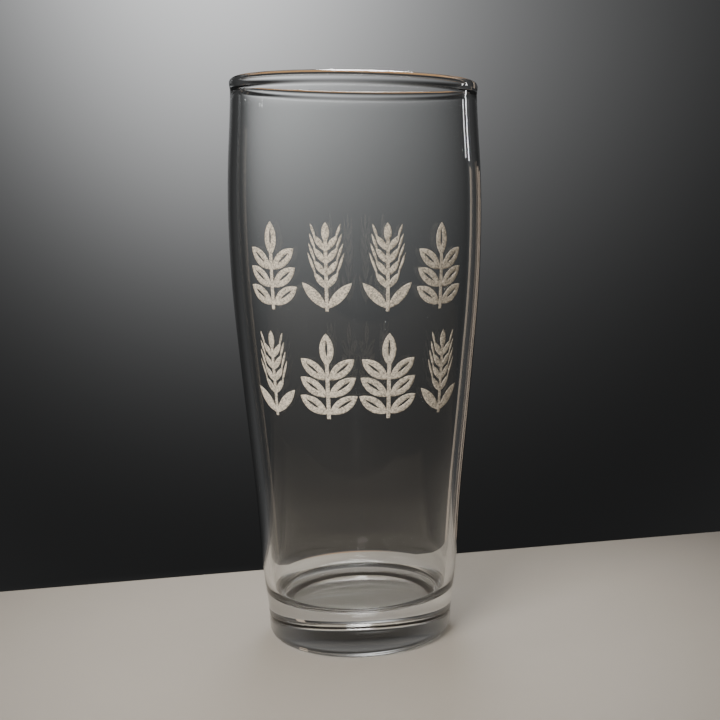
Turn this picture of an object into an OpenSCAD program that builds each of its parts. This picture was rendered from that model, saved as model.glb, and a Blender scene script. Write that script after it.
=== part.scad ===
// Tall pint glass: one blown soda-lime vessel with a heavy base, a swelling wall and a
// fire-polished rim, decorated on its front with two rows of etched sprigs and barley ears.
// Millimetres, +Z up. The origin is the centre of the foot, on the surface it stands on.
// The front of the glass faces -Y.

/* [Vessel] */
// Height from the table to the top of the rim
glass_h = 166; // [150:1:180]
// Radius of the foot, before its edge is rounded
foot_r = 27.7; // [27:0.1:29]
// Thickness of the solid glass under the lowest point of the floor
base_t = 13; // [10:0.5:16]
// Radius that joins the floor to the wall inside
corner_r = 3.5; // [3:0.5:8]
// How far the middle of the floor dips below its edge
floor_dish = 0.3; // [0:0.1:1]
// Wall thickness just above the base
wall_low_t = 2.7; // [2:0.1:3.5]
// Wall thickness just below the rim
wall_high_t = 2.3; // [1.8:0.1:2.8]
// Diameter of the rounded bead around the rim
bead_d = 3; // [2.8:0.1:3.6]

/* [Foot] */
// Radius of the rounded edge around the foot
heel_r = 3; // [2:0.1:3.4]
// Radius of the hollow in the underside
hollow_r = 21.5; // [18:0.5:22.5]
// Depth of the hollow at its middle
hollow_depth = 0.4; // [0.2:0.1:1]

/* [Etching] */
// Depth of the etched marks in the outer surface
etch_depth = 0.2; // [0.15:0.01:0.3]
// Height of one etched mark
mark_h = 24; // [16:0.5:24]
// Height above the table of the middle of the upper row
upper_row_z = 114; // [112:0.5:120]
// Height above the table of the middle of the lower row
lower_row_z = 84; // [76:0.5:86]
// Angle around the glass between two marks of the upper row
upper_pitch = 26; // [26:0.5:30]
// Angle around the glass between two marks of the lower row
lower_pitch = 28; // [28:0.5:32]

/* [Hidden] */

$fn = 96;
rings = 42;
bead_r = bead_d / 2;
wall_top_z = glass_h - bead_r;
ring_h = (wall_top_z - heel_r) / rings;
corner_steps = 9;
heel_steps = 6;
dish_steps = 5;
marks_per_row = 4;
mark_reach = foot_r * 2;
least_step = ring_h / 4;

leaf_l = mark_h * 0.385;
leaf_w = mark_h * 0.165;
leaf_root_x = mark_h * 0.012;
vein_w = mark_h * 0.026;
grain_l = mark_h * 0.225;
grain_w = mark_h * 0.07;
grain_lean = 38;
awn_l = mark_h * 0.27;
awn_w = mark_h * 0.03;

// Outward lean of the wall in degrees against the share of the glass's height: a foot that
// stands nearly upright, a long taper, a belly at three quarters and a rim drawn in.
LEAN = [
    [0, 1.5], [0.042, 3], [0.072, 8], [0.18, 2.8], [0.29, 5.1],
    [0.373, 5.5], [0.578, 4.9], [0.771, 0], [0.892, -3.9], [1, -1.9],
];

function lean_at(z) = lookup(z / glass_h, LEAN);
function ring_z(i) = heel_r + i * ring_h;

// Outer radius of every ring, summed up the wall from the foot
OUTER_R = [
    for (i = 0, r = foot_r; i <= rings; r = r + ring_h * tan(lean_at(ring_z(i + 0.5))), i = i + 1) r
];
OUTER = [for (i = [0 : rings]) [ring_z(i), OUTER_R[i]]];

function outer_r(z) = lookup(z, OUTER);
function wall_t(z) = lookup(z, [[base_t, wall_low_t], [wall_top_z, wall_high_t]]);
function inner_r(z) = outer_r(z) - wall_t(z);

corner_top_z = base_t + floor_dish + corner_r;
floor_edge_z = base_t + floor_dish;
floor_edge_r = inner_r(floor_edge_z) - corner_r;
bead_mid_r = (outer_r(wall_top_z) + inner_r(wall_top_z)) / 2;

// The outlines below run up the outside, down the inside and back along the underside
function heel_points() = [
    for (i = [0 : heel_steps])
        let (a = 90 * i / heel_steps)
        [foot_r - heel_r + heel_r * sin(a), heel_r - heel_r * cos(a)]
];

function outer_wall_points() = [
    for (i = [1 : rings]) [OUTER_R[i], ring_z(i)]
];

function inner_wall_points() = [
    for (i = [rings : -1 : 0])
        let (z = ring_z(i))
        if (z > corner_top_z + least_step) [inner_r(z), z]
];

function corner_points() = [
    for (i = [0 : corner_steps])
        let (a = 90 * i / corner_steps, z = floor_edge_z + corner_r * (1 - sin(a)))
        [inner_r(z) - corner_r * (1 - cos(a)), z]
];

function floor_points() = [
    for (i = [dish_steps - 1 : -1 : 0])
        let (x = i / dish_steps)
        [floor_edge_r * x, base_t + floor_dish * x * x]
];

function hollow_points() = [
    for (i = [0 : dish_steps])
        let (x = i / dish_steps)
        [hollow_r * x, hollow_depth * (1 - x * x)]
];

module vessel_outline() {
    polygon(concat(
        heel_points(), outer_wall_points(), inner_wall_points(),
        corner_points(), floor_points(), hollow_points()
    ));
    translate([bead_mid_r, wall_top_z]) circle(bead_r);
}

// The skin of the glass, as deep as the etching, over the height of one row
module etched_skin(mid_z) {
    low = mid_z - mark_h / 2 - ring_h;
    high = mid_z + mark_h / 2 + ring_h;
    inside = [for (p = OUTER) if (p[0] > low && p[0] < high) [p[1] - etch_depth, p[0]]];
    outside = [for (i = [len(OUTER) - 1 : -1 : 0])
        let (p = OUTER[i])
        if (p[0] > low && p[0] < high) [p[1], p[0]]
    ];
    rotate_extrude() polygon(concat(inside, outside));
}

// A pointed leaf or grain from the origin up Y: where two equal discs overlap
module leaf(length, width) {
    shift = (length * length / 4 - width * width / 4) / width;
    intersection() {
        translate([-shift, length / 2]) circle(shift + width / 2);
        translate([shift, length / 2]) circle(shift + width / 2);
    }
}

module stem(length, width) {
    translate([-width / 2, 0]) square([width, length]);
}

// Places a child at the root of every leaf of a sprig, up Y, scaled to the leaf's size
module at_sprig_leaves() {
    translate([0, mark_h - leaf_l]) children();
    for (level = [0 : 2], side = [-1, 1])
        translate([-side * leaf_root_x, mark_h * (0.06 + 0.2 * level)])
            rotate([0, 0, side * (57 - 3 * level)]) children();
}

// Leafy sprig with three pairs of leaves and one at its tip, from y = 0 to mark_h. Each leaf
// has a clear vein, where the polished glass is left alone.
module sprig() {
    difference() {
        union() {
            stem(mark_h * 0.7, mark_h * 0.045);
            at_sprig_leaves() leaf(leaf_l, leaf_w);
        }
        at_sprig_leaves() translate([0, leaf_l * 0.3]) leaf(leaf_l * 0.5, vein_w);
    }
}

// Ear of barley on a stem with two blades, from y = 0 to mark_h
module barley_ear() {
    stem(mark_h * 0.86, mark_h * 0.04);
    translate([0, mark_h - grain_l]) leaf(grain_l, mark_h * 0.09);
    for (side = [-1, 1]) {
        translate([0, mark_h * 0.03])
            rotate([0, 0, side * 44]) leaf(mark_h * 0.41, mark_h * 0.12);
        for (level = [0 : 3])
            translate([0, mark_h * (0.26 + 0.14 * level)])
                rotate([0, 0, side * grain_lean]) {
                    leaf(grain_l, grain_w);
                    translate([0, grain_l * 0.84])
                        rotate([0, 0, side * -18]) leaf(awn_l * (1 - 0.13 * level), awn_w);
                }
    }
}

// One row of marks around the front. The two at its ends are of one kind, the two in the
// middle of the other.
module etched_row(mid_z, pitch, ears_inside) {
    for (i = [0 : marks_per_row - 1]) {
        is_inner = i > 0 && i < marks_per_row - 1;
        intersection() {
            etched_skin(mid_z);
            rotate([0, 0, pitch * (i - (marks_per_row - 1) / 2)])
                translate([0, 0, mid_z - mark_h / 2])
                    rotate([90, 0, 0])
                        linear_extrude(height = mark_reach)
                            if (is_inner == ears_inside) barley_ear(); else sprig();
        }
    }
}

module upper_row() {
    etched_row(upper_row_z, upper_pitch, true);
}

module lower_row() {
    etched_row(lower_row_z, lower_pitch, false);
}

module glass_vessel() {
    color([0.86, 0.91, 0.91, 0.45])
        difference() {
            rotate_extrude() vessel_outline();
            upper_row();
            lower_row();
        }
}

module etched_upper_row() {
    color([0.8, 0.78, 0.75]) upper_row();
}

module etched_lower_row() {
    color([0.8, 0.78, 0.75]) lower_row();
}

glass_vessel();
etched_upper_row();
etched_lower_row();
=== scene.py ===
"""Looks of a tall pint glass: a lathed clear vessel with two rows of etched marks.

Run as a script inside Blender. Everything is in metres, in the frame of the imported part:
+Z up, the origin under the middle of the foot, the etched front facing -Y.
"""

import math

import bpy
from mathutils import Matrix, Vector
from mathutils.geometry import delaunay_2d_cdt


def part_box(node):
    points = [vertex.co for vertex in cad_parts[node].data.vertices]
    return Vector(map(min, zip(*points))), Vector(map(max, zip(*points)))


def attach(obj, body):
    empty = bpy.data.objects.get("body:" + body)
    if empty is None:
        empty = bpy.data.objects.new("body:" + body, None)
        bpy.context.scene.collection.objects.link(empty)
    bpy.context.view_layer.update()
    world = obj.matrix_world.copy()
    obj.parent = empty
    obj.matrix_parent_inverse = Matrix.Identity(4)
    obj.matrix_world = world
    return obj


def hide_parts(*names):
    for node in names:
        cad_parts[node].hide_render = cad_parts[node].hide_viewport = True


bl_info = {
    "name": "Etched Pint Glass",
    "version": (1, 0, 0),
    "blender": (4, 5, 0),
    "location": "View3D > Sidebar > Glass",
    "description": "Lathes a clear pint glass, etches two rows of marks into it and sets its stage",
    "category": "Add Mesh",
}

MM = 0.001
WELD = 1e-6

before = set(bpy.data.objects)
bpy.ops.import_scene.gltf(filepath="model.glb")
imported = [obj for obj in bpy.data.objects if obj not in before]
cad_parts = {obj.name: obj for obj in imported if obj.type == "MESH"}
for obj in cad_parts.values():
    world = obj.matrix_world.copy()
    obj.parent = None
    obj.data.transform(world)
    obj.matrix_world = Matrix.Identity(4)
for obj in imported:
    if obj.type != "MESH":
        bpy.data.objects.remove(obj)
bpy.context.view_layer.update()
GLASS_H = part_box("glass_vessel")[1][2]
UPPER_ROW_LOW_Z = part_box("etched_upper_row")[0][2]
LOWER_ROW_LOW_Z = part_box("etched_lower_row")[0][2]
BODY = "root"

SENSOR_W = 36
CAMERA_SHIFT = (-0.2147, 0.0028)

# Glows on the wall behind the glass: the way to the middle, how sharply it falls off along
# X, Y and Z, and how bright it is
GLOWS = (
    ((-0.12, 0.94, 0.32), (7.5, 1.0, 4.4), 1.24),
    ((-0.045, 0.98, 0.16), (4.1, 1.0, 4.7), 0.24),
)

# Outward lean of the wall in degrees against the share of the glass's height: a foot that
# stands nearly upright, a long taper, a belly at three quarters and a rim drawn in.
LEAN = (
    (0, 1.5),
    (0.042, 3),
    (0.072, 8),
    (0.18, 2.8),
    (0.29, 5.1),
    (0.373, 5.5),
    (0.578, 4.9),
    (0.771, 0),
    (0.892, -3.9),
    (1, -1.9),
)


# ---------------------------------------------------------------------------
# Settings
# ---------------------------------------------------------------------------


class VesselSettings(bpy.types.PropertyGroup):
    """Sizes of the clear vessel."""

    height: bpy.props.FloatProperty(
        name="Height",
        description="From the surface it stands on to the top of the rim",
        default=GLASS_H,
        subtype="DISTANCE",
        unit="LENGTH",
    )
    foot_radius: bpy.props.FloatProperty(
        name="Foot radius",
        description="Radius of the foot before its edge is rounded",
        default=27.7 * MM,
        subtype="DISTANCE",
        unit="LENGTH",
    )
    heel_radius: bpy.props.FloatProperty(
        name="Heel rounding",
        description="Radius of the rounded edge around the foot",
        default=3 * MM,
        subtype="DISTANCE",
        unit="LENGTH",
    )
    base_thickness: bpy.props.FloatProperty(
        name="Base thickness",
        description="Solid glass under the lowest point of the floor",
        default=13 * MM,
        subtype="DISTANCE",
        unit="LENGTH",
    )
    corner_radius: bpy.props.FloatProperty(
        name="Inner corner",
        description="Radius that joins the floor to the wall inside",
        default=3.5 * MM,
        subtype="DISTANCE",
        unit="LENGTH",
    )
    floor_dish: bpy.props.FloatProperty(
        name="Floor dish",
        description="How far the middle of the floor dips below its edge",
        default=0.3 * MM,
        subtype="DISTANCE",
        unit="LENGTH",
    )
    wall_low: bpy.props.FloatProperty(
        name="Wall above the base",
        description="Wall thickness just above the base",
        default=2.7 * MM,
        subtype="DISTANCE",
        unit="LENGTH",
    )
    wall_high: bpy.props.FloatProperty(
        name="Wall below the rim",
        description="Wall thickness just below the rim",
        default=2.3 * MM,
        subtype="DISTANCE",
        unit="LENGTH",
    )
    bead: bpy.props.FloatProperty(
        name="Rim bead",
        description="Diameter of the rounded bead around the rim",
        default=3 * MM,
        subtype="DISTANCE",
        unit="LENGTH",
    )
    hollow_radius: bpy.props.FloatProperty(
        name="Underside hollow",
        description="Radius of the hollow in the underside",
        default=21.5 * MM,
        subtype="DISTANCE",
        unit="LENGTH",
    )
    hollow_depth: bpy.props.FloatProperty(
        name="Hollow depth",
        description="Depth of the underside hollow at its middle",
        default=0.4 * MM,
        subtype="DISTANCE",
        unit="LENGTH",
    )
    around: bpy.props.IntProperty(
        name="Segments around",
        description="Faces around the glass",
        default=400,
        min=32,
    )


class EtchSettings(bpy.types.PropertyGroup):
    """Sizes of the etched marks."""

    mark_height: bpy.props.FloatProperty(
        name="Mark height",
        description="Height of one etched mark",
        default=24 * MM,
        subtype="DISTANCE",
        unit="LENGTH",
    )
    upper_pitch: bpy.props.FloatProperty(
        name="Upper pitch",
        description="Angle around the glass between two marks of the upper row",
        default=math.radians(26),
        subtype="ANGLE",
        unit="ROTATION",
    )
    lower_pitch: bpy.props.FloatProperty(
        name="Lower pitch",
        description="Angle around the glass between two marks of the lower row",
        default=math.radians(28),
        subtype="ANGLE",
        unit="ROTATION",
    )
    marks: bpy.props.IntProperty(
        name="Marks in a row",
        description="Number of marks in each row",
        default=4,
        min=2,
    )
    depth: bpy.props.FloatProperty(
        name="Etched depth",
        description="Thickness of the frosted layer",
        default=0.12 * MM,
        subtype="DISTANCE",
        unit="LENGTH",
    )
    proud: bpy.props.FloatProperty(
        name="Frost height",
        description="How far the crests of the frost stand out of the polished surface",
        default=0.015 * MM,
        subtype="DISTANCE",
        unit="LENGTH",
    )
    mesh_step: bpy.props.FloatProperty(
        name="Mesh step",
        description="Distance between the points inside a mark",
        default=0.6 * MM,
        subtype="DISTANCE",
        unit="LENGTH",
    )


class FinishSettings(bpy.types.PropertyGroup):
    """Colours of the glass and of the frost."""

    glass_tint: bpy.props.FloatVectorProperty(
        name="Glass tint",
        description="Colour that light keeps when it enters the glass",
        default=(0.985, 0.993, 0.99),
        size=3,
        min=0,
        max=1,
        subtype="COLOR",
    )
    frost_light: bpy.props.FloatVectorProperty(
        name="Frost crests",
        description="Colour of the light grains of the etching",
        default=(0.96, 0.87, 0.73),
        size=3,
        min=0,
        max=1,
        subtype="COLOR",
    )
    frost_dark: bpy.props.FloatVectorProperty(
        name="Frost pits",
        description="Colour of the dark grains of the etching",
        default=(0.4, 0.365, 0.31),
        size=3,
        min=0,
        max=1,
        subtype="COLOR",
    )


class StageSettings(bpy.types.PropertyGroup):
    """Camera and table."""

    camera_distance: bpy.props.FloatProperty(
        name="Camera distance",
        description="Level distance from the glass's axis to the camera",
        default=360.2 * MM,
        subtype="DISTANCE",
        unit="LENGTH",
    )
    camera_height: bpy.props.FloatProperty(
        name="Camera height",
        description="Height of the camera above the table",
        default=135.1 * MM,
        subtype="DISTANCE",
        unit="LENGTH",
    )
    camera_turn: bpy.props.FloatProperty(
        name="Camera turn",
        description="How far the camera is turned to the right of the glass's axis",
        default=math.radians(7.53),
        subtype="ANGLE",
        unit="ROTATION",
    )
    camera_dip: bpy.props.FloatProperty(
        name="Camera dip",
        description="How far the camera looks down",
        default=math.radians(8.23),
        subtype="ANGLE",
        unit="ROTATION",
    )
    camera_roll: bpy.props.FloatProperty(
        name="Camera roll",
        description="How far the camera is rolled to the left",
        default=math.radians(0.41),
        subtype="ANGLE",
        unit="ROTATION",
    )
    lens: bpy.props.FloatProperty(
        name="Lens",
        description="Focal length in millimetres on a sensor 36 mm wide",
        default=59.8,
    )
    table_behind: bpy.props.FloatProperty(
        name="Table behind",
        description="How far the table reaches behind the glass's axis",
        default=67 * MM,
        subtype="DISTANCE",
        unit="LENGTH",
    )
    table_turn: bpy.props.FloatProperty(
        name="Table turn",
        description="How far the table is turned from square to the front of the glass",
        default=math.radians(9.5),
        subtype="ANGLE",
        unit="ROTATION",
    )


SETTINGS = (
    ("glass_vessel_settings", VesselSettings),
    ("glass_etch_settings", EtchSettings),
    ("glass_finish_settings", FinishSettings),
    ("glass_stage_settings", StageSettings),
)


# ---------------------------------------------------------------------------
# Outline of the glass
# ---------------------------------------------------------------------------


def between(table, x):
    """The value at x of a table of (x, value) pairs, straight from one pair to the next."""
    for (x0, y0), (x1, y1) in zip(table, table[1:]):
        if x <= x1:
            return y0 + (y1 - y0) * max(x - x0, 0) / (x1 - x0)
    return table[-1][1]


class Outline:
    """Half of the vessel's cross-section, summed up the wall from the foot."""

    STEPS = 664
    SWELL = 1.9  # height over which the bead eases into the wall, in its own radii
    RING_STEPS = 4

    def __init__(self, sizes):
        self.s = sizes
        self.top = sizes.height - sizes.bead / 2
        self.step = (self.top - sizes.heel_radius) / self.STEPS
        self.radii = [sizes.foot_radius]
        for i in range(self.STEPS):
            z = sizes.heel_radius + (i + 0.5) * self.step
            lean = math.radians(between(LEAN, z / sizes.height))
            self.radii.append(self.radii[-1] + self.step * math.tan(lean))

    def outer(self, z):
        """Outer radius at height z."""
        at = min(max((z - self.s.heel_radius) / self.step, 0), self.STEPS)
        i = min(int(at), self.STEPS - 1)
        return self.radii[i] + (self.radii[i + 1] - self.radii[i]) * (at - i)

    def inner(self, z):
        """Inner radius at height z, above the floor."""
        wall = ((self.s.base_thickness, self.s.wall_low), (self.top, self.s.wall_high))
        return self.outer(z) - between(wall, z)

    def heel(self, count):
        """Rounded edge of the foot, from the ring it stands on to the upright."""
        r = self.s.heel_radius
        for i in range(count + 1):
            a = math.pi / 2 * i / count
            yield self.s.foot_radius - r + r * math.sin(a), r - r * math.cos(a)

    def outer_wall(self, count):
        low, high = self.s.heel_radius, self.top - self.s.bead / 2
        for i in range(1, count):
            z = low + (high - low) * i / count
            yield self.outer(z), z

    def rim(self, count):
        """The bead: a little wider than the wall, eased into it on both sides."""
        r = self.s.bead / 2
        middle = (self.outer(self.top) + self.inner(self.top)) / 2
        swell = self.SWELL * r
        for i in range(count + 1):
            t = i / count
            z = self.top - swell * (1 - t)
            ease = t * t * (3 - 2 * t)
            yield self.outer(z) * (1 - ease) + (middle + r) * ease, z
        for i in range(1, 2 * count):
            a = math.pi * i / (2 * count)
            yield middle + r * math.cos(a), self.top + r * math.sin(a)
        for i in range(count + 1):
            t = 1 - i / count
            z = self.top - swell * (1 - t)
            ease = t * t * (3 - 2 * t)
            yield self.inner(z) * (1 - ease) + (middle - r) * ease, z

    def inner_wall(self, count):
        low = self.s.base_thickness + self.s.floor_dish + self.s.corner_radius
        high = self.top - self.s.bead
        for i in range(1, count):
            z = high + (low - high) * i / count
            yield self.inner(z), z

    def corner(self, count):
        r = self.s.corner_radius
        edge_z = self.s.base_thickness + self.s.floor_dish
        for i in range(count + 1):
            a = math.pi / 2 * i / count
            z = edge_z + r * (1 - math.sin(a))
            yield self.inner(z) - r * (1 - math.cos(a)), z

    def floor(self, count):
        edge_z = self.s.base_thickness + self.s.floor_dish
        edge_r = self.inner(edge_z) - self.s.corner_radius
        for i in range(count - 1, -1, -1):
            x = i / count
            yield edge_r * x, self.s.base_thickness + self.s.floor_dish * x * x

    def underside(self, count):
        for i in range(count + 1):
            x = i / count
            yield self.s.hollow_radius * x, self.s.hollow_depth * (1 - x * x)
        ring_end = self.s.foot_radius - self.s.heel_radius
        for i in range(1, self.RING_STEPS):
            x = i / self.RING_STEPS
            yield self.s.hollow_radius + (ring_end - self.s.hollow_radius) * x, 0

    def points(self):
        """The closed section, from the axis under the foot to the axis on the floor."""
        yield from self.underside(18)
        yield from self.heel(8)
        yield from self.outer_wall(68)
        yield from self.rim(8)
        yield from self.inner_wall(60)
        yield from self.corner(16)
        yield from self.floor(16)


# ---------------------------------------------------------------------------
# Node helpers
# ---------------------------------------------------------------------------


class Wire:
    """One socket of a shader tree. Python arithmetic on it adds Math nodes."""

    def __init__(self, nodes, socket):
        self.nodes = nodes
        self.socket = socket

    def _math(self, operation, first, second):
        return self.nodes.add("ShaderNodeMath", {"operation": operation}, {0: first, 1: second})

    def __add__(self, other):
        return self._math("ADD", self, other)

    def __radd__(self, other):
        return self._math("ADD", other, self)

    def __sub__(self, other):
        return self._math("SUBTRACT", self, other)

    def __rsub__(self, other):
        return self._math("SUBTRACT", other, self)

    def __mul__(self, other):
        return self._math("MULTIPLY", self, other)

    def __rmul__(self, other):
        return self._math("MULTIPLY", other, self)


class Nodes:
    """Builds one node tree."""

    def __init__(self, tree):
        self.tree = tree
        tree.nodes.clear()

    def add(self, kind, settings=None, sockets=None, output=0):
        """Adds a node of this type: its settings first, then its sockets' values or links."""
        node = self.tree.nodes.new(kind)
        for name, value in (settings or {}).items():
            if name == "stops":
                set_stops(node.color_ramp, value)
            else:
                setattr(node, name, value)
        for key, value in (sockets or {}).items():
            if isinstance(value, Wire):
                self.tree.links.new(value.socket, node.inputs[key])
            else:
                node.inputs[key].default_value = value
        if output is None:
            return node
        return Wire(self, node.outputs[output])


def set_stops(ramp, stops):
    """Gives a colour ramp these (position, grey) stops."""
    while len(ramp.elements) > len(stops):
        ramp.elements.remove(ramp.elements[-1])
    while len(ramp.elements) < len(stops):
        ramp.elements.new(1)
    for element, (position, grey) in zip(ramp.elements, stops):
        element.position = position
        element.color = (grey, grey, grey, 1)


def new_material(name):
    material = bpy.data.materials.new(name)
    material.use_nodes = True
    return material, Nodes(material.node_tree)


def object_point(nodes):
    """Position on the piece in its own frame, in metres."""
    return nodes.add("ShaderNodeTexCoord", output="Object")


# ---------------------------------------------------------------------------
# Materials
# ---------------------------------------------------------------------------


def clear_glass(finish):
    """Polished glass: faint waves left by blowing, and thin smears."""
    material, nodes = new_material("clear_glass")
    point = object_point(nodes)
    waves = nodes.add(
        "ShaderNodeTexNoise", {}, {"Vector": point, "Scale": 38.0, "Detail": 1.0, "Roughness": 0.4}
    )
    smears = nodes.add(
        "ShaderNodeTexNoise",
        {},
        {"Vector": point, "Scale": 55.0, "Detail": 3.0, "Roughness": 0.55, "Distortion": 1.2},
    )
    smear_mask = nodes.add(
        "ShaderNodeValToRGB", {"stops": ((0.5, 0), (0.75, 1))}, {"Fac": smears}
    )
    normal = nodes.add(
        "ShaderNodeBump", {}, {"Height": waves, "Strength": 0.12, "Distance": 0.25 * MM}
    )
    shader = nodes.add(
        "ShaderNodeBsdfPrincipled",
        {},
        {
            "Base Color": (*finish.glass_tint, 1),
            "Roughness": 0.004 + smear_mask * 0.03,
            "IOR": 1.52,
            "Transmission Weight": 1.0,
            "Normal": normal,
        },
    )
    nodes.add("ShaderNodeOutputMaterial", {}, {"Surface": shader}, output=None)
    return material


def etched_glass(finish):
    """Laser frost: a dense field of tiny light and dark grains with glints."""
    material, nodes = new_material("etched_glass")
    point = object_point(nodes)
    grain_colour = nodes.add(
        "ShaderNodeTexVoronoi", {}, {"Vector": point, "Scale": 3200.0}, "Color"
    )
    grain = nodes.add("ShaderNodeSeparateColor", {}, {"Color": grain_colour}, "Red")
    clump_colour = nodes.add(
        "ShaderNodeTexVoronoi", {}, {"Vector": point, "Scale": 2200.0}, "Color"
    )
    clump = nodes.add("ShaderNodeSeparateColor", {}, {"Color": clump_colour}, "Green")
    drift = nodes.add(
        "ShaderNodeTexNoise", {}, {"Vector": point, "Scale": 160.0, "Detail": 3.0, "Roughness": 0.6}
    )
    tone = grain * 0.65 + clump * 0.22 + drift * 0.18
    tone_ramp = nodes.add("ShaderNodeValToRGB", {"stops": ((0.15, 0), (0.8, 1))}, {"Fac": tone})
    colour = nodes.add(
        "ShaderNodeMix",
        {"data_type": "RGBA"},
        {0: tone_ramp, 6: (*finish.frost_dark, 1), 7: (*finish.frost_light, 1)},
        2,
    )
    cover = nodes.add("ShaderNodeValToRGB", {"stops": ((0.1, 0.75), (0.5, 0.98))}, {"Fac": tone})
    normal = nodes.add(
        "ShaderNodeBump", {}, {"Height": tone, "Strength": 0.9, "Distance": 0.08 * MM}
    )
    shader = nodes.add(
        "ShaderNodeBsdfPrincipled",
        {},
        {
            "Base Color": colour,
            "Roughness": 0.62 - tone * 0.3,
            "IOR": 1.5,
            "Alpha": cover,
            "Normal": normal,
        },
    )
    nodes.add("ShaderNodeOutputMaterial", {}, {"Surface": shader}, output=None)
    return material


def table_material():
    """Pale matt board with a faint mottle and a painted pool of light round the glass, darker away
    from the glass in painted shade, so that the walls of the glass mirror little of it."""
    material, nodes = new_material("pale_table")
    point = object_point(nodes)
    mottle = nodes.add(
        "ShaderNodeTexNoise", {}, {"Vector": point, "Scale": 30.0, "Detail": 6.0, "Roughness": 0.6}
    )
    pale = nodes.add(
        "ShaderNodeMix",
        {"data_type": "RGBA"},
        {0: mottle, 6: (0.4, 0.375, 0.34, 1), 7: (0.425, 0.4, 0.365, 1)},
        2,
    )
    reach = nodes.add("ShaderNodeVectorMath", {"operation": "LENGTH"}, {0: point}, "Value")
    # Painted pool of light: the board keeps its pale colour within 0.06 m of the glass's axis and
    # loses it by 0.22 m.
    painted_light_pool = nodes.add(
        "ShaderNodeMapRange",
        {"interpolation_type": "SMOOTHSTEP"},
        {"Value": reach, "From Min": 0.22, "From Max": 0.06},
    )
    # Painted shade: away from the glass the board turns dark grey, as if unlit.
    shade = nodes.add(
        "ShaderNodeMix", {"data_type": "RGBA"}, {0: painted_light_pool, 6: (0.07, 0.064, 0.06, 1), 7: pale}, 2
    )
    shader = nodes.add("ShaderNodeBsdfPrincipled", {}, {"Base Color": shade, "Roughness": 0.6})
    nodes.add("ShaderNodeOutputMaterial", {}, {"Surface": shader}, output=None)
    return material


# ---------------------------------------------------------------------------
# Geometry Nodes
# ---------------------------------------------------------------------------


def add_input(tree, name, kind, default=None):
    socket = tree.interface.new_socket(name, in_out="INPUT", socket_type=kind)
    if default is not None:
        socket.default_value = default


def new_tree(name, inputs):
    """An empty Geometry Nodes tree with these named inputs, and its input node."""
    tree = bpy.data.node_groups.new(name, "GeometryNodeTree")
    add_input(tree, "Geometry", "NodeSocketGeometry")
    for label, kind, default in inputs:
        add_input(tree, label, kind, default)
    tree.interface.new_socket("Geometry", in_out="OUTPUT", socket_type="NodeSocketGeometry")
    nodes = Nodes(tree)
    start = nodes.add("NodeGroupInput", output=None)
    return tree, nodes, lambda label: Wire(nodes, start.outputs[label])


def finish_tree(nodes, geometry, material):
    real = nodes.add("GeometryNodeRealizeInstances", {}, {"Geometry": geometry})
    painted = nodes.add("GeometryNodeSetMaterial", {}, {"Geometry": real, "Material": material})
    nodes.add("NodeGroupOutput", {}, {"Geometry": painted}, output=None)


def lathe_tree():
    """Turns a chain of points (radius, 0, height) round the Z axis into a closed surface."""
    tree, nodes, given = new_tree(
        "Lathe",
        (
            ("Around", "NodeSocketInt", 128),
            ("Weld", "NodeSocketFloat", WELD),
            ("Material", "NodeSocketMaterial", None),
        ),
    )
    count = nodes.add(
        "GeometryNodeAttributeDomainSize",
        {"component": "MESH"},
        {"Geometry": given("Geometry")},
        "Point Count",
    )
    grid = nodes.add(
        "GeometryNodeMeshGrid",
        {},
        {"Size X": 1.0, "Size Y": 1.0, "Vertices X": count, "Vertices Y": given("Around") + 1},
        output=None,
    )
    sheet = Wire(nodes, grid.outputs["Mesh"])
    spot = nodes.add("GeometryNodeInputPosition")
    spot = nodes.add("ShaderNodeSeparateXYZ", {}, {"Vector": spot}, output=None)
    along = Wire(nodes, spot.outputs["X"]) + 0.5
    turn = (Wire(nodes, spot.outputs["Y"]) + 0.5) * math.tau
    row = nodes.add("ShaderNodeMath", {"operation": "ROUND"}, {0: along * (count - 1)})
    row = nodes.add("FunctionNodeFloatToInt", {}, {"Float": row})
    chain_point = nodes.add("GeometryNodeInputPosition")
    sampled = nodes.add(
        "GeometryNodeSampleIndex",
        {"data_type": "FLOAT_VECTOR", "domain": "POINT"},
        {"Geometry": given("Geometry"), "Value": chain_point, "Index": row},
    )
    turned = nodes.add(
        "ShaderNodeVectorRotate",
        {"rotation_type": "Z_AXIS"},
        {"Vector": sampled, "Angle": turn},
    )
    shaped = nodes.add("GeometryNodeSetPosition", {}, {"Geometry": sheet, "Position": turned})
    welded = nodes.add(
        "GeometryNodeMergeByDistance", {}, {"Geometry": shaped, "Distance": given("Weld")}
    )
    outward = nodes.add("GeometryNodeFlipFaces", {}, {"Mesh": welded})
    smooth = nodes.add("GeometryNodeSetShadeSmooth", {}, {"Geometry": outward})
    finish_tree(nodes, smooth, given("Material"))
    return tree


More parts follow.
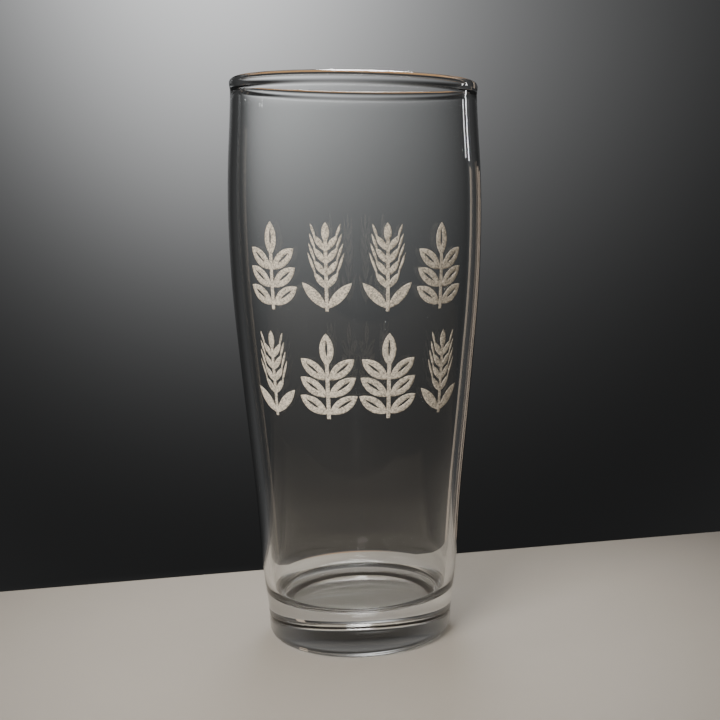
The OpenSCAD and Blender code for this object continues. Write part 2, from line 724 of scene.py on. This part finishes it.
def row_tree():
    """Bends a flat mark onto the wall and repeats it round the front.

    The flat mark stands in the XZ plane. Each of its points carries wall_r, the radius of the
    wall at its height. Only the inner or only the outer places of the row are filled.
    """
    tree, nodes, given = new_tree(
        "Etched row",
        (
            ("Count", "NodeSocketInt", 4),
            ("Pitch", "NodeSocketFloat", 0.5),
            ("Inner places", "NodeSocketBool", True),
            ("Proud", "NodeSocketFloat", 0.0),
            ("Material", "NodeSocketMaterial", None),
        ),
    )
    spot = nodes.add("GeometryNodeInputPosition")
    spot = nodes.add("ShaderNodeSeparateXYZ", {}, {"Vector": spot}, output=None)
    across = Wire(nodes, spot.outputs["X"])
    height = Wire(nodes, spot.outputs["Z"])
    wall = nodes.add("GeometryNodeInputNamedAttribute", {"data_type": "FLOAT"}, {"Name": "wall_r"})
    skin = wall + given("Proud")
    reach = nodes.add("ShaderNodeMath", {"operation": "SQRT"}, {0: skin * skin - across * across})
    bent = nodes.add("ShaderNodeCombineXYZ", {}, {"X": across, "Y": reach * -1.0, "Z": height})
    mark = nodes.add(
        "GeometryNodeSetPosition", {}, {"Geometry": given("Geometry"), "Position": bent}
    )
    places = nodes.add("GeometryNodeMeshLine", {}, {"Count": given("Count"), "Offset": (0, 0, 0)})
    index = nodes.add("GeometryNodeInputIndex")
    last = given("Count") - 1
    after_first = nodes.add("ShaderNodeMath", {"operation": "GREATER_THAN"}, {0: index, 1: 0.5})
    before_last = nodes.add(
        "ShaderNodeMath", {"operation": "LESS_THAN"}, {0: index, 1: last - 0.5}
    )
    is_inner = after_first * before_last
    wanted = nodes.add(
        "ShaderNodeMath",
        {"operation": "COMPARE"},
        {0: is_inner, 1: given("Inner places"), 2: 0.1},
    )
    angle = (index - last * 0.5) * given("Pitch")
    turn = nodes.add("ShaderNodeCombineXYZ", {}, {"Z": angle})
    repeated = nodes.add(
        "GeometryNodeInstanceOnPoints",
        {},
        {"Points": places, "Instance": mark, "Selection": wanted, "Rotation": turn},
    )
    smooth = nodes.add("GeometryNodeSetShadeSmooth", {}, {"Geometry": repeated})
    finish_tree(nodes, smooth, given("Material"))
    return tree


def run_tree(mesh, name, tree, values):
    """A plain mesh object made by a tree from a starting mesh."""
    source = bpy.data.objects.new(name + "_source", mesh)
    bpy.context.scene.collection.objects.link(source)
    modifier = source.modifiers.new(tree.name, "NODES")
    modifier.node_group = tree
    sockets = {s.name: s.identifier for s in tree.interface.items_tree if s.in_out == "INPUT"}
    for label, value in values.items():
        modifier[sockets[label]] = value
    graph = bpy.context.evaluated_depsgraph_get()
    result = bpy.data.meshes.new_from_object(source.evaluated_get(graph))
    source.modifiers.remove(modifier)
    bpy.data.objects.remove(source)
    return result


def link(name, mesh):
    mesh.name = name
    piece = bpy.data.objects.new(name, mesh)
    bpy.context.scene.collection.objects.link(piece)
    return piece


# ---------------------------------------------------------------------------
# Flat marks
# ---------------------------------------------------------------------------


def leaf_shape(length, width, root, turn, steps=14):
    """Outline of a pointed leaf that grows from its root: two arcs that meet at its tips."""
    shift = (length * length / 4 - width * width / 4) / width
    radius = shift + width / 2
    half = math.asin(length / 2 / radius)
    points = []
    for side in (1, -1):
        for i in range(steps):
            a = -half + 2 * half * i / steps
            points.append((side * (radius * math.cos(a) - shift), side * radius * math.sin(a)))
    placed = []
    for x, y in points:
        y += length / 2
        placed.append(
            (
                root[0] + x * math.cos(turn) - y * math.sin(turn),
                root[1] + x * math.sin(turn) + y * math.cos(turn),
            )
        )
    return placed


def stem_shape(length, width):
    half = width / 2
    return [(-half, 0), (half, 0), (half, length), (-half, length)]


def sprig_shapes(h):
    """Solid and clear outlines of a leafy sprig of height h."""
    leaf_l, leaf_w, vein_w = h * 0.385, h * 0.165, h * 0.026
    roots = [((0, h - leaf_l), 0.0)]
    for level in range(3):
        for side in (-1, 1):
            root = (-side * h * 0.012, h * (0.06 + 0.2 * level))
            roots.append((root, side * math.radians(57 - 3 * level)))
    solid = [stem_shape(h * 0.7, h * 0.045)]
    clear = []
    for root, turn in roots:
        solid.append(leaf_shape(leaf_l, leaf_w, root, turn))
        up = leaf_l * 0.3
        vein_root = (root[0] - up * math.sin(turn), root[1] + up * math.cos(turn))
        clear.append(leaf_shape(leaf_l * 0.5, vein_w, vein_root, turn))
    return solid, clear


def ear_shapes(h):
    """Solid outlines of an ear of barley of height h on a stem with two blades."""
    grain_l, grain_w, awn_l, awn_w = h * 0.225, h * 0.07, h * 0.27, h * 0.03
    solid = [
        stem_shape(h * 0.86, h * 0.04),
        leaf_shape(grain_l, h * 0.09, (0, h - grain_l), 0.0),
    ]
    for side in (-1, 1):
        solid.append(leaf_shape(h * 0.41, h * 0.12, (0, h * 0.03), side * math.radians(44)))
        for level in range(4):
            root = (0, h * (0.26 + 0.14 * level))
            turn = side * math.radians(38)
            solid.append(leaf_shape(grain_l, grain_w, root, turn))
            up = grain_l * 0.84
            awn_root = (root[0] - up * math.sin(turn), root[1] + up * math.cos(turn))
            awn_turn = turn - side * math.radians(18)
            solid.append(leaf_shape(awn_l * (1 - 0.13 * level), awn_w, awn_root, awn_turn))
    return solid, []


def flat_mark(name, shapes, etch, outline, low_z):
    """A fine flat mesh of one mark in the XZ plane, with the wall's radius on every point."""
    solid, clear = shapes
    coords = []
    faces = []
    for shape in solid + clear:
        faces.append(list(range(len(coords), len(coords) + len(shape))))
        coords += [Vector(p) for p in shape]
    half_w = max(abs(p.x) for p in coords)
    step = etch.mesh_step
    columns = int(half_w / step) + 1
    rows = int(etch.mark_height / step) + 1
    off_edges = (0.137, 0.291)  # shares of a step that keep inner points off the outlines
    for row in range(rows):
        for column in range(-columns, columns + 1):
            across = column + (row % 2) / 2 + off_edges[0]
            coords.append(Vector((across * step, (row + off_edges[1]) * step)))
    fill_all, touching = 0, 1e-7
    points, _, triangles, _, _, sources = delaunay_2d_cdt(
        coords, [], faces, fill_all, touching, True
    )
    kept = []
    for triangle, source in zip(triangles, sources):
        is_clear = any(i >= len(solid) for i in source)
        if source and not is_clear:
            kept.append(triangle)
    used = sorted({i for triangle in kept for i in triangle})
    place = {old: new for new, old in enumerate(used)}
    mesh = bpy.data.meshes.new(name)
    mesh.from_pydata(
        [(points[i].x, 0, points[i].y + low_z) for i in used],
        [],
        [[place[i] for i in triangle] for triangle in kept],
    )
    radius = mesh.attributes.new("wall_r", "FLOAT", "POINT")
    for i, vertex in enumerate(mesh.vertices):
        radius.data[i].value = outline.outer(vertex.co.z)
    return mesh


def thicken(piece, depth):
    """Gives a skin its depth inwards and makes the result its mesh."""
    modifier = piece.modifiers.new("depth", "SOLIDIFY")
    modifier.thickness = depth
    modifier.offset = -1
    modifier.use_even_offset = True
    graph = bpy.context.evaluated_depsgraph_get()
    solid = bpy.data.meshes.new_from_object(piece.evaluated_get(graph))
    piece.modifiers.remove(modifier)
    piece.data = solid


def join_meshes(meshes):
    """One mesh out of several."""
    coords = []
    faces = []
    for mesh in meshes:
        start = len(coords)
        coords += [v.co.copy() for v in mesh.vertices]
        faces += [[start + i for i in p.vertices] for p in mesh.polygons]
    joined = bpy.data.meshes.new("joined")
    joined.from_pydata(coords, [], faces)
    return joined


# ---------------------------------------------------------------------------
# Operators
# ---------------------------------------------------------------------------


class GLASS_OT_vessel(bpy.types.Operator):
    """Lathe the clear vessel in place of its CAD solid"""

    bl_idname = "glass.vessel"
    bl_label = "Clear Vessel"

    def execute(self, context):
        sizes = context.scene.glass_vessel_settings
        chain = list(Outline(sizes).points())
        mesh = bpy.data.meshes.new("vessel_outline")
        mesh.from_pydata(
            [(r, 0, z) for r, z in chain], [(i, i + 1) for i in range(len(chain) - 1)], []
        )
        material = clear_glass(context.scene.glass_finish_settings)
        values = {"Around": sizes.around, "Weld": WELD, "Material": material}
        result = run_tree(mesh, "vessel", lathe_tree(), values)
        if len(result.polygons) < len(chain) * sizes.around // 2:
            raise RuntimeError("the lathe made too few faces")
        result.materials.clear()
        result.materials.append(material)
        piece = link("pint_glass_vessel", result)
        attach(piece, BODY)
        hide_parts("glass_vessel")
        return {"FINISHED"}


class GLASS_OT_etching(bpy.types.Operator):
    """Lay the two rows of etched marks onto the front of the vessel"""

    bl_idname = "glass.etching"
    bl_label = "Etched Rows"

    def execute(self, context):
        etch = context.scene.glass_etch_settings
        outline = Outline(context.scene.glass_vessel_settings)
        material = etched_glass(context.scene.glass_finish_settings)
        tree = row_tree()
        rows = (
            ("etched_upper_row", UPPER_ROW_LOW_Z, etch.upper_pitch, True),
            ("etched_lower_row", LOWER_ROW_LOW_Z, etch.lower_pitch, False),
        )
        for node, low_z, pitch, ears_inside in rows:
            kinds = (
                ("ear", ear_shapes(etch.mark_height), ears_inside),
                ("sprig", sprig_shapes(etch.mark_height), not ears_inside),
            )
            parts = []
            for kind, shapes, inner_places in kinds:
                flat = flat_mark(node + "_" + kind, shapes, etch, outline, low_z)
                values = {
                    "Count": etch.marks,
                    "Pitch": pitch,
                    "Inner places": inner_places,
                    "Proud": etch.proud,
                    "Material": material,
                }
                parts.append(run_tree(flat, kind, tree, values))
            piece = link("frosted_" + node.replace("etched_", ""), join_meshes(parts))
            piece.data.materials.append(material)
            thicken(piece, etch.depth)
            piece.data.polygons.foreach_set("use_smooth", [True] * len(piece.data.polygons))
            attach(piece, BODY)
            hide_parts(node)
        return {"FINISHED"}


class GLASS_OT_stage(bpy.types.Operator):
    """Set the table, the backdrop, the lights and the camera"""

    bl_idname = "glass.stage"
    bl_label = "Stage"

    def execute(self, context):
        stage = context.scene.glass_stage_settings
        add_table(stage)
        add_world()
        add_lights()
        add_camera(stage)
        return {"FINISHED"}


def add_table(stage):
    """A board with rounded edges along its front and back, its top at the foot of the glass."""
    half_w, front, thick, edge, steps = 0.6, -0.4, 0.03, 0.003, 8
    back = stage.table_behind
    turns = [math.pi / 2 * i / steps for i in range(steps + 1)]
    profile = [(front + edge - edge * math.cos(a), -edge + edge * math.sin(a)) for a in turns]
    profile += [(back - edge + edge * math.sin(a), -edge + edge * math.cos(a)) for a in turns]
    profile += [(back, -thick), (front, -thick)]
    count = len(profile)
    verts = [(x, y, z) for x in (-half_w, half_w) for y, z in profile]
    faces = [tuple(range(count)), tuple(range(2 * count - 1, count - 1, -1))]
    for i in range(count):
        j = (i + 1) % count
        faces.append((i, count + i, count + j, j))
    mesh = bpy.data.meshes.new("table")
    mesh.from_pydata(verts, [], faces)
    mesh.transform(Matrix.Rotation(stage.table_turn, 4, "Z"))
    table = link("pale_table", mesh)
    table.data.materials.append(table_material())


def add_world():
    """A dark wall with a soft glow behind the glass, a warm glow low down behind it, grey
    sides and a bright ceiling."""
    world = bpy.data.worlds.new("surround")
    world.use_nodes = True
    nodes = Nodes(world.node_tree)
    ahead = nodes.add("ShaderNodeTexCoord", output="Generated")
    parts = nodes.add("ShaderNodeSeparateXYZ", {}, {"Vector": ahead}, output=None)

    def rise(axis, start, end):
        """From 0 where the direction's share along an axis is start to 1 where it is end."""
        return nodes.add(
            "ShaderNodeMapRange",
            {"interpolation_type": "SMOOTHSTEP"},
            {"Value": Wire(nodes, parts.outputs[axis]), "From Min": start, "From Max": end},
        )

    ceiling = rise("Z", 0.35, 0.85)
    sides = rise("Y", 0.96, 0.75)
    embers = rise("Z", -0.3, -0.4) * rise("Z", -0.74, -0.6) * rise("Y", 0.3, 0.65)
    backdrop = rise("Z", 0.32, 0.16)
    strength = ceiling * 0.7 + sides * 0.04 + embers * 0.55 + 0.012
    for towards, spread, brightness in GLOWS:
        offset = nodes.add(
            "ShaderNodeVectorMath", {"operation": "SUBTRACT"}, {0: ahead, 1: towards}
        )
        scaled = nodes.add(
            "ShaderNodeVectorMath", {"operation": "MULTIPLY"}, {0: offset, 1: spread}
        )
        fall = nodes.add(
            "ShaderNodeVectorMath", {"operation": "DOT_PRODUCT"}, {0: scaled, 1: scaled}, "Value"
        )
        glow = nodes.add("ShaderNodeMath", {"operation": "EXPONENT"}, {0: fall * -1.0})
        strength = strength + glow * backdrop * brightness
    colour = nodes.add(
        "ShaderNodeMix",
        {"data_type": "RGBA"},
        {0: ceiling, 6: (0.98, 0.99, 1, 1), 7: (1, 0.88, 0.72, 1)},
        2,
    )
    colour = nodes.add(
        "ShaderNodeMix", {"data_type": "RGBA"}, {0: embers, 6: colour, 7: (1, 0.5, 0.16, 1)}, 2
    )
    light = nodes.add("ShaderNodeBackground", {}, {"Color": colour, "Strength": strength})
    nodes.add("ShaderNodeOutputWorld", {}, {"Surface": light}, output=None)
    bpy.context.scene.world = world


def add_light(name, place, size, power, colour=(1, 1, 1), mirrored=True, lighting=True):
    """An area light aimed at the middle of the glass. It can be left out of what the glass
    mirrors, or light nothing but its highlights."""
    lamp = bpy.data.lights.new(name, "AREA")
    lamp.shape = "RECTANGLE"
    lamp.size, lamp.size_y = size
    lamp.energy = power
    lamp.color = colour
    holder = bpy.data.objects.new(name, lamp)
    bpy.context.scene.collection.objects.link(holder)
    middle = Vector((0, 0, GLASS_H / 2))
    aim = (middle - Vector(place)).to_track_quat("-Z", "Y")
    holder.matrix_world = Matrix.Translation(place) @ aim.to_matrix().to_4x4()
    holder.visible_glossy = mirrored
    holder.visible_transmission = mirrored
    holder.visible_diffuse = lighting


def add_lights():
    add_light("key", (-0.38, -0.62, 0.5), (0.4, 0.25), 8.0, (1, 0.95, 0.88), mirrored=False)
    add_light("back", (-0.1, 0.85, 0.62), (0.9, 0.3), 2.0, (1, 0.96, 0.9), mirrored=False)
    add_light("edge", (0.28, 0.55, -0.02), (0.06, 0.36), 0.035, (1, 0.8, 0.62), lighting=False)
    add_light("top", (0.01, 0.2, 0.55), (0.15, 0.4), 6.0, lighting=False)
    add_light("window", (0.277, 0.155, 0.18), (0.007, 0.036), 0.016, lighting=False)


def add_camera(stage):
    turn, dip, roll = stage.camera_turn, stage.camera_dip, stage.camera_roll
    level = Vector((math.sin(turn), math.cos(turn), 0))
    ahead = level * math.cos(dip) - Vector((0, 0, 1)) * math.sin(dip)
    right = Vector((math.cos(turn), -math.sin(turn), 0))
    up = level * math.sin(dip) + Vector((0, 0, 1)) * math.cos(dip)
    right, up = (
        right * math.cos(roll) + up * math.sin(roll),
        up * math.cos(roll) - right * math.sin(roll),
    )
    camera = bpy.data.cameras.new("camera")
    camera.sensor_width = SENSOR_W
    camera.lens = stage.lens
    camera.shift_x, camera.shift_y = CAMERA_SHIFT
    camera.clip_start = 0.01
    holder = bpy.data.objects.new("camera", camera)
    bpy.context.scene.collection.objects.link(holder)
    turned = Matrix((right, up, -ahead)).transposed().to_4x4()
    eye = (0, -stage.camera_distance, stage.camera_height)
    holder.matrix_world = Matrix.Translation(eye) @ turned
    bpy.context.scene.camera = holder


class GLASS_PT_panel(bpy.types.Panel):
    """Lists the steps that make the glass"""

    bl_idname = "GLASS_PT_panel"
    bl_label = "Pint Glass"
    bl_space_type = "VIEW_3D"
    bl_region_type = "UI"
    bl_category = "Glass"

    def draw(self, context):
        for group, _ in SETTINGS:
            box = self.layout.box()
            settings = getattr(context.scene, group)
            for name in settings.bl_rna.properties.keys():
                if name not in {"rna_type", "name"}:
                    box.prop(settings, name)
        for operator in (GLASS_OT_vessel, GLASS_OT_etching, GLASS_OT_stage):
            self.layout.operator(operator.bl_idname)


CLASSES = (
    VesselSettings,
    EtchSettings,
    FinishSettings,
    StageSettings,
    GLASS_OT_vessel,
    GLASS_OT_etching,
    GLASS_OT_stage,
    GLASS_PT_panel,
)


def register():
    for item in CLASSES:
        bpy.utils.register_class(item)
    for name, group in SETTINGS:
        setattr(bpy.types.Scene, name, bpy.props.PointerProperty(type=group))


def unregister():
    for name, _ in SETTINGS:
        delattr(bpy.types.Scene, name)
    for item in reversed(CLASSES):
        bpy.utils.unregister_class(item)


def main():
    register()
    bpy.ops.glass.vessel()
    bpy.ops.glass.etching()
    bpy.ops.glass.stage()


if __name__ == "__main__":
    main()
